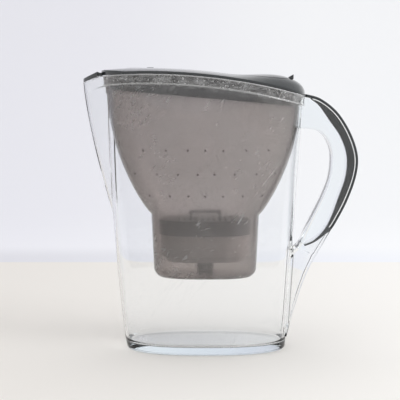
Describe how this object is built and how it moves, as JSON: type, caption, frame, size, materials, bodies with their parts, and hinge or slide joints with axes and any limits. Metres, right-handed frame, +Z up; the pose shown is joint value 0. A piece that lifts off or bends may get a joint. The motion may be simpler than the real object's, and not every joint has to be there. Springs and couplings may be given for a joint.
{
  "type": "water filter pitcher with flip lid",
  "caption": "Clear oval water pitcher with a smoked funnel and filter cartridge, dark lift-off lid with flip-up fill cover and spout flap, change indicator and curved handle with a dark grip.",
  "frame": {"origin": "on the surface that the pitcher stands on, under the middle of the whole pitcher", "axes": "+Z up, the spout towards -X and the handle towards +X, symmetric about the XZ plane"},
  "size_m": [0.26, 0.1042, 0.2685],
  "materials": {
    "clear_shell": "clear, moulded",
    "soft_grip": "soft matt",
    "smoke_shell": "smoked, moulded",
    "cartridge_cup": "satin, moulded",
    "cartridge_cap": "satin, moulded",
    "seal_rubber": "matt",
    "screen_mesh": "fine mesh",
    "media": "granules",
    "lid_shell": "gloss, moulded",
    "flip_shell": "gloss, moulded",
    "flap_shell": "gloss, moulded",
    "indicator_case": "satin",
    "indicator_back": "matt",
    "indicator_lens": "clear",
    "display_face": "gloss",
    "board": "coated",
    "cell_steel": "brushed",
    "contact_metal": "bright",
    "button_rubber": "soft"
  },
  "bodies": {
    "jug": {"jug_body": "clear_shell", "handle_grip": "soft_grip"},
    "funnel": {"funnel": "smoke_shell"},
    "cartridge": {"cartridge_cup": "cartridge_cup", "cartridge_cap": "cartridge_cap", "outlet_seal": "seal_rubber", "top_screen": "screen_mesh", "filter_media": "media", "bottom_screen": "screen_mesh"},
    "lid": {"lid_frame": "lid_shell", "indicator_case": "indicator_case", "indicator_back": "indicator_back", "indicator_lens": "indicator_lens", "indicator_display": "display_face", "indicator_board": "board", "coin_cell": "cell_steel", "cell_contact": "contact_metal"},
    "flip_lid": {"flip_lid": "flip_shell"},
    "spout_flap": {"spout_flap": "flap_shell"},
    "start_button": {"start_button": "button_rubber"}
  },
  "joints": [
    {"name": "funnel_lift", "type": "slide", "parent": "jug", "child": "funnel", "axis": [0, 0, 1], "range_m": [0, 0.21]},
    {"name": "cartridge_lift", "type": "slide", "parent": "funnel", "child": "cartridge", "axis": [0, 0, 1], "range_m": [0, 0.19]},
    {"name": "lid_lift", "type": "slide", "parent": "cartridge", "child": "lid", "axis": [0, 0, 1], "range_m": [0, 0.1]},
    {"name": "flip_lid_hinge", "type": "hinge", "parent": "lid", "child": "flip_lid", "pos_m": [-0.0386, 0, 0.26378], "axis": [0, -1, 0], "range_deg": [0, 85]},
    {"name": "spout_flap_hinge", "type": "hinge", "parent": "lid", "child": "spout_flap", "pos_m": [-0.1153, 0, 0.26198], "axis": [0, 1, 0], "range_deg": [0, 60]},
    {"name": "start_button_press", "type": "slide", "parent": "lid", "child": "start_button", "axis": [0, 0, -1], "range_m": [0, 0.0006], "stiffness_N_per_m": 400}
  ]
}
